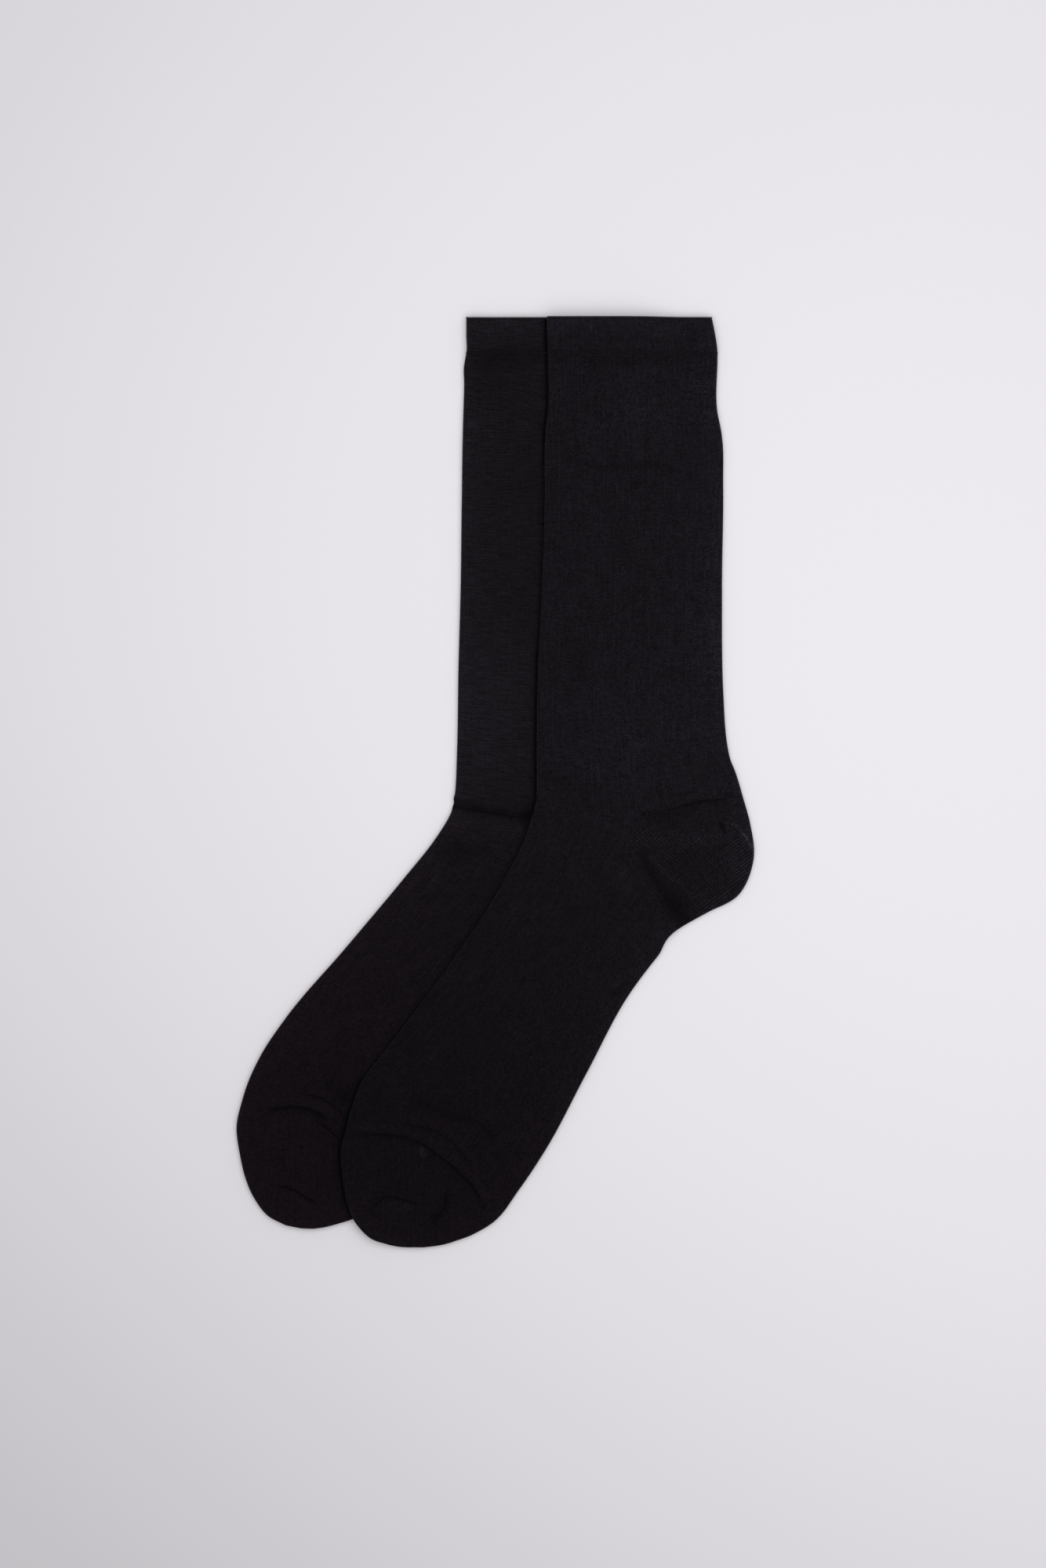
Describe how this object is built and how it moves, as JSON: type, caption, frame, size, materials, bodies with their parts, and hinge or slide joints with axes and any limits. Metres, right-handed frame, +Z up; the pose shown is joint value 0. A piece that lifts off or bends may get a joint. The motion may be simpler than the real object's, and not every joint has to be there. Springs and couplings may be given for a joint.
{
  "type": "pair of socks",
  "caption": "Pair of fine-knit calf socks laid flat on their sides, one partly over the other, each a flattened tube with turned welt, heel pocket and closed toe.",
  "frame": {"origin": "middle of the pair's footprint, on the surface that the socks lie on", "axes": "+Y along the legs, from the toes to the cuffs; +X from the instep side to the heel side; +Z up from the surface"},
  "size_m": [0.2274, 0.409, 0.0069],
  "materials": {
    "knit": "near-black fine plain knit in matt cotton yarn"
  },
  "bodies": {
    "root": {"under_sock": "knit", "over_sock": "knit"}
  },
  "joints": []
}
